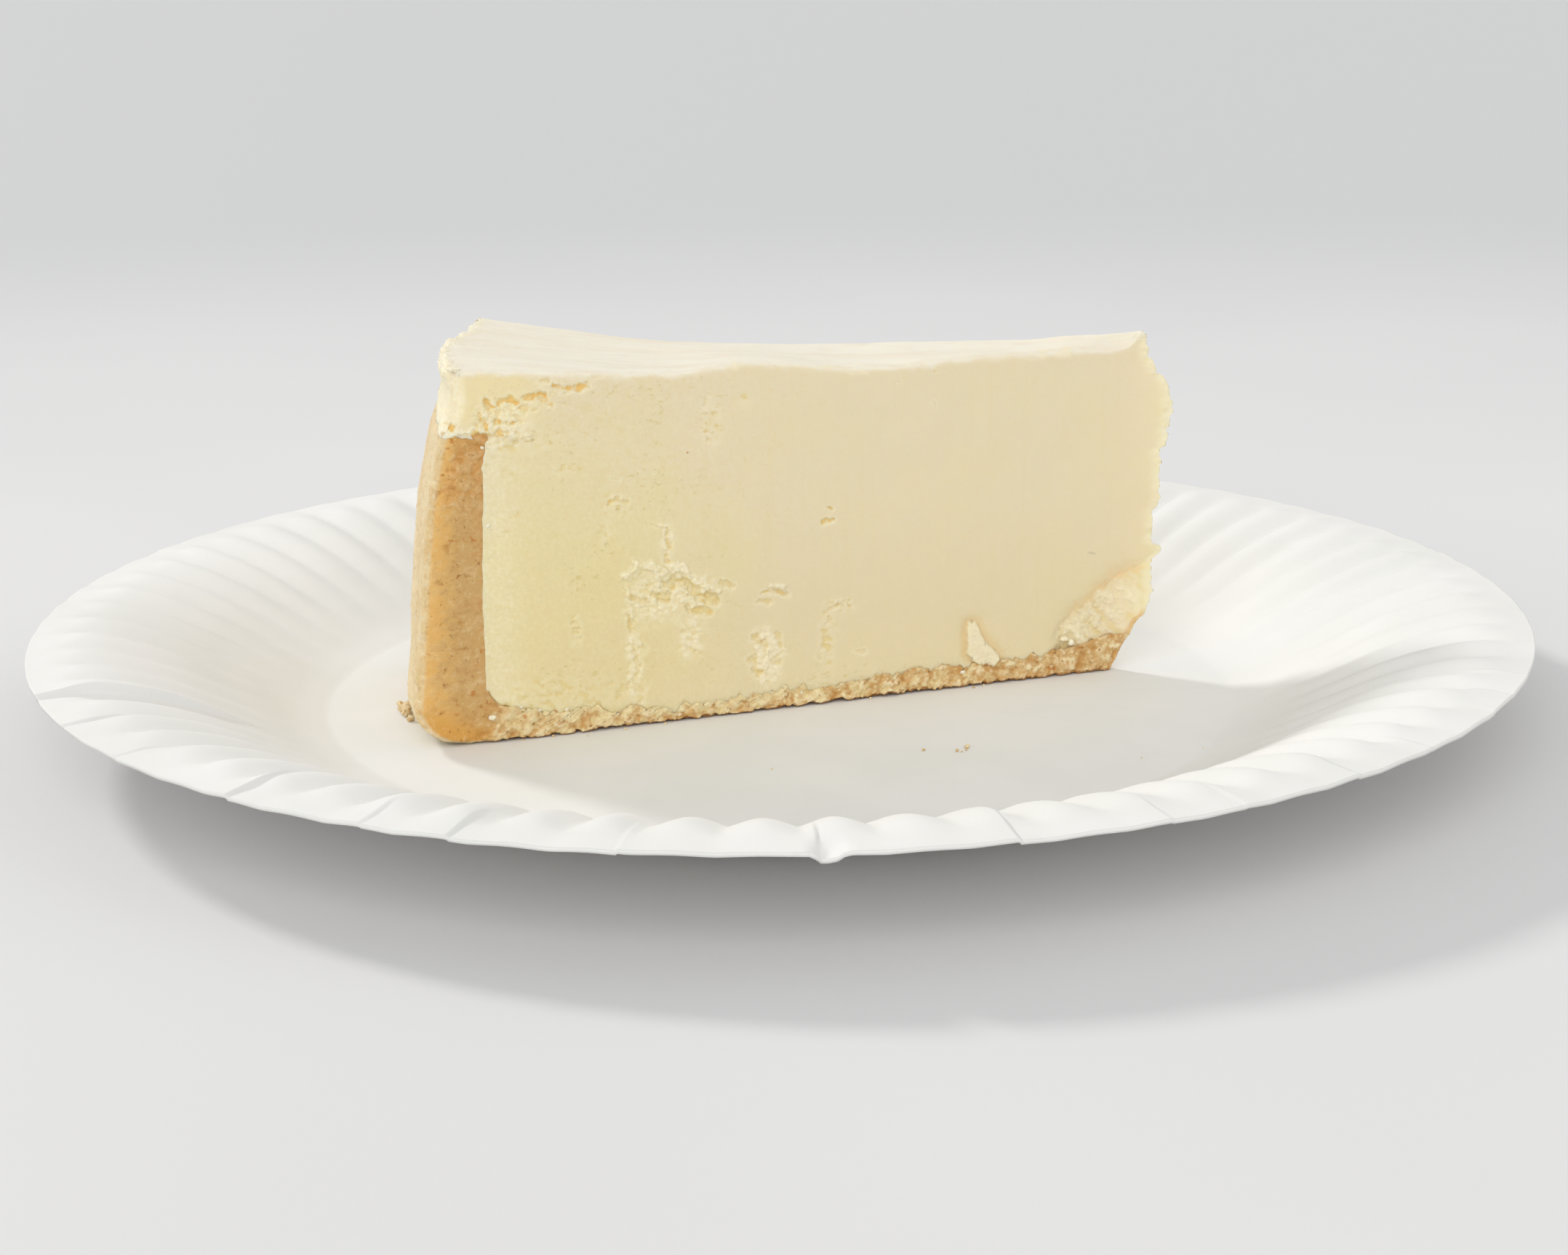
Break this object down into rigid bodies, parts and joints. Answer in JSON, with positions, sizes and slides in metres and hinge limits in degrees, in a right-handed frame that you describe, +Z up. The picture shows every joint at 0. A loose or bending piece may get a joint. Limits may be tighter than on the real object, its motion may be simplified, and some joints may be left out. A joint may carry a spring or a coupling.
{
  "type": "cheesecake slice on plate",
  "caption": "Wedge of plain baked cheesecake with a pastry shell on its base and outer side, lying on a round white paper plate with a fluted rim.",
  "frame": {"origin": "centre of the plate's underside, on the surface it stands on", "axes": "+Z up; the slice's front cut face looks towards -Y and its point towards +X"},
  "size_m": [0.2286, 0.2286, 0.0578],
  "materials": {
    "plate_paper": "matt white uncoated paper with a faint fibre grain",
    "cheese_filling": "dense cream cheese filling, satin where the knife smoothed it and matt where it is torn, slightly translucent",
    "pastry_crust": "short pastry, crumbly and matt, golden along its baked edge"
  },
  "bodies": {
    "root": {"plate": "plate_paper", "filling": "cheese_filling", "crust": "pastry_crust"}
  },
  "joints": []
}
